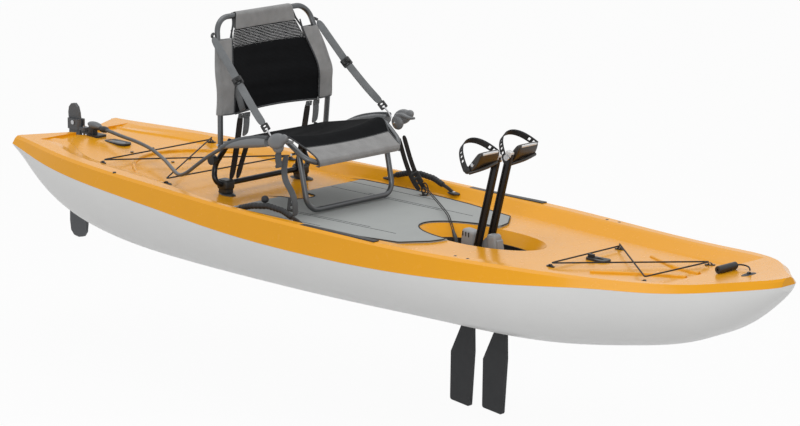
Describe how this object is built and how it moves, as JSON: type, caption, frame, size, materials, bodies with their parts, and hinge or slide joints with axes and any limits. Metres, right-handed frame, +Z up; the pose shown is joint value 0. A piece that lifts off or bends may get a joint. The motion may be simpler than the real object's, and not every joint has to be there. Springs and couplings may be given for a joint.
{
  "type": "pedal kayak",
  "caption": "Sit-on-top pedal kayak with a rocking pedal drive that sweeps two fins under the hull, a framed mesh seat, hand steering levers and a kick-up stern rudder.",
  "frame": {"origin": "amidships on the centreline, on the flat of the hull's bottom", "axes": "+X to the bow, +Y to port, +Z up"},
  "size_m": [3.328, 0.9146, 1.2265],
  "materials": {
    "hull_grey": "gloss",
    "deck_orange": "gloss",
    "black_plastic": "satin",
    "brass": "satin",
    "mat_foam": "matt",
    "shock_cord": "matt",
    "tube_metal": "gloss",
    "steel": "satin",
    "grey_fabric": "matt",
    "black_mesh": "matt",
    "webbing": "matt",
    "lever_grey": "satin",
    "umbilical_sheath": "matt",
    "drive_grey": "satin",
    "crank_black": "anodised",
    "pedal_plastic": "satin",
    "strap_rubber": "matt",
    "fin_rubber": "matt",
    "rudder_grey": "matt"
  },
  "bodies": {
    "hull": {"hull_shell": "hull_grey", "deck_shell": "deck_orange", "well_liner": "black_plastic", "cockpit_mat": "mat_foam", "gear_tracks": "black_plastic", "threaded_inserts": "brass", "pad_eyes": "black_plastic", "stern_bungee": "shock_cord", "bow_bungee": "shock_cord", "bungee_hook": "black_plastic", "bow_toggle": "black_plastic", "bow_handle_cord": "shock_cord", "side_handles": "shock_cord", "stern_handle": "black_plastic", "deck_plugs": "black_plastic", "rudder_gudgeon": "black_plastic", "rudder_pin": "steel", "seat_clamps": "black_plastic", "seat_base_frame": "tube_metal", "seat_front_leg": "tube_metal", "seat_rear_frame": "tube_metal", "seat_bolts": "steel", "leg_knobs": "black_plastic", "seat_sling": "black_mesh", "tie_downs": "webbing", "recline_strap_starboard": "webbing", "recline_strap_port": "webbing", "back_stay_straps": "webbing", "steering_sleeve_starboard": "lever_grey", "steering_sleeve_port": "lever_grey", "steering_umbilical": "umbilical_sheath", "drive_leash": "shock_cord", "drive_spine": "drive_grey", "crank_axle": "steel", "fin_shaft": "steel", "drive_latches": "black_plastic"},
    "seat_back": {"back_frame": "tube_metal", "back_sling": "black_mesh", "back_headband": "grey_fabric"},
    "lever_starboard": {"steering_lever_starboard": "lever_grey"},
    "lever_port": {"steering_lever_port": "lever_grey"},
    "rudder_head": {"rudder_head": "rudder_grey", "rudder_pivot_bolt": "steel"},
    "rudder_blade": {"rudder_blade": "rudder_grey"},
    "crank_starboard": {"crank_arm_starboard": "crank_black", "crank_drum_starboard": "black_plastic", "pedal_spindle_starboard": "steel"},
    "crank_port": {"crank_arm_port": "crank_black", "crank_drum_port": "black_plastic", "pedal_spindle_port": "steel"},
    "pedal_starboard": {"pedal_starboard": "pedal_plastic", "pedal_strap_starboard": "strap_rubber"},
    "pedal_port": {"pedal_port": "pedal_plastic", "pedal_strap_port": "strap_rubber"},
    "front_cup": {"fin_cup_front": "drive_grey"},
    "rear_cup": {"fin_cup_rear": "drive_grey"},
    "front_fin": {"fin_mast_front": "steel", "fin_front": "fin_rubber"},
    "rear_fin": {"fin_mast_rear": "steel", "fin_rear": "fin_rubber"}
  },
  "joints": [
    {"name": "seat_back_fold", "type": "hinge", "parent": "hull", "child": "seat_back", "pos_m": [-0.566, 0, 0.438], "axis": [0, 1, 0], "range_deg": [0, 65], "deforming": ["recline_strap_starboard", "recline_strap_port", "back_stay_straps"]},
    {"name": "rudder_steer", "type": "hinge", "parent": "hull", "child": "rudder_head", "pos_m": [-1.562, 0, 0.32], "axis": [0, 0, 1], "range_deg": [-35, 35]},
    {"name": "rudder_kick_up", "type": "hinge", "parent": "rudder_head", "child": "rudder_blade", "pos_m": [-1.602, 0, 0.34], "axis": [0, 1, 0], "range_deg": [0, 70]},
    {"name": "steer_lever_starboard", "type": "hinge", "parent": "hull", "child": "lever_starboard", "pos_m": [-0.265, -0.29, 0.486], "axis": [0, 1, 0], "range_deg": [-25, 25]},
    {"name": "steer_lever_port", "type": "hinge", "parent": "hull", "child": "lever_port", "pos_m": [-0.265, 0.29, 0.486], "axis": [0, 1, 0], "range_deg": [-25, 25]},
    {"name": "crank_starboard_stroke", "type": "hinge", "parent": "hull", "child": "crank_starboard", "pos_m": [0.409, 0, 0.165], "axis": [0, 1, 0], "range_deg": [-38, 38]},
    {"name": "crank_port_stroke", "type": "hinge", "parent": "hull", "child": "crank_port", "pos_m": [0.409, 0, 0.165], "axis": [0, 1, 0], "range_deg": [-38, 38]},
    {"name": "pedal_starboard_spin", "type": "hinge", "parent": "crank_starboard", "child": "pedal_starboard", "pos_m": [0.50088, -0.093, 0.5079], "axis": [0, 1, 0], "continuous": true},
    {"name": "pedal_port_spin", "type": "hinge", "parent": "crank_port", "child": "pedal_port", "pos_m": [0.50088, 0.093, 0.5079], "axis": [0, 1, 0], "continuous": true},
    {"name": "front_fin_sweep", "type": "hinge", "parent": "hull", "child": "front_cup", "pos_m": [0.512, 0, -0.034], "axis": [1, 0, 0], "range_deg": [-85, 85]},
    {"name": "rear_fin_sweep", "type": "hinge", "parent": "hull", "child": "rear_cup", "pos_m": [0.367, 0, -0.034], "axis": [1, 0, 0], "range_deg": [-85, 85]},
    {"name": "front_fin_kick_up", "type": "hinge", "parent": "front_cup", "child": "front_fin", "pos_m": [0.512, 0, -0.061], "axis": [0, 1, 0], "range_deg": [0, 45]},
    {"name": "rear_fin_kick_up", "type": "hinge", "parent": "rear_cup", "child": "rear_fin", "pos_m": [0.367, 0, -0.061], "axis": [0, 1, 0], "range_deg": [0, 45]}
  ],
  "couplings": [
    {"joint": "crank_port_stroke", "follows": "crank_starboard_stroke", "ratio": -1},
    {"joint": "front_fin_sweep", "follows": "crank_starboard_stroke", "ratio": 2.2},
    {"joint": "rear_fin_sweep", "follows": "crank_starboard_stroke", "ratio": -2.2},
    {"joint": "steer_lever_starboard", "follows": "rudder_steer", "ratio": 0.7},
    {"joint": "steer_lever_port", "follows": "rudder_steer", "ratio": -0.7},
    {"joint": "rear_fin_kick_up", "follows": "front_fin_kick_up", "ratio": 1}
  ]
}
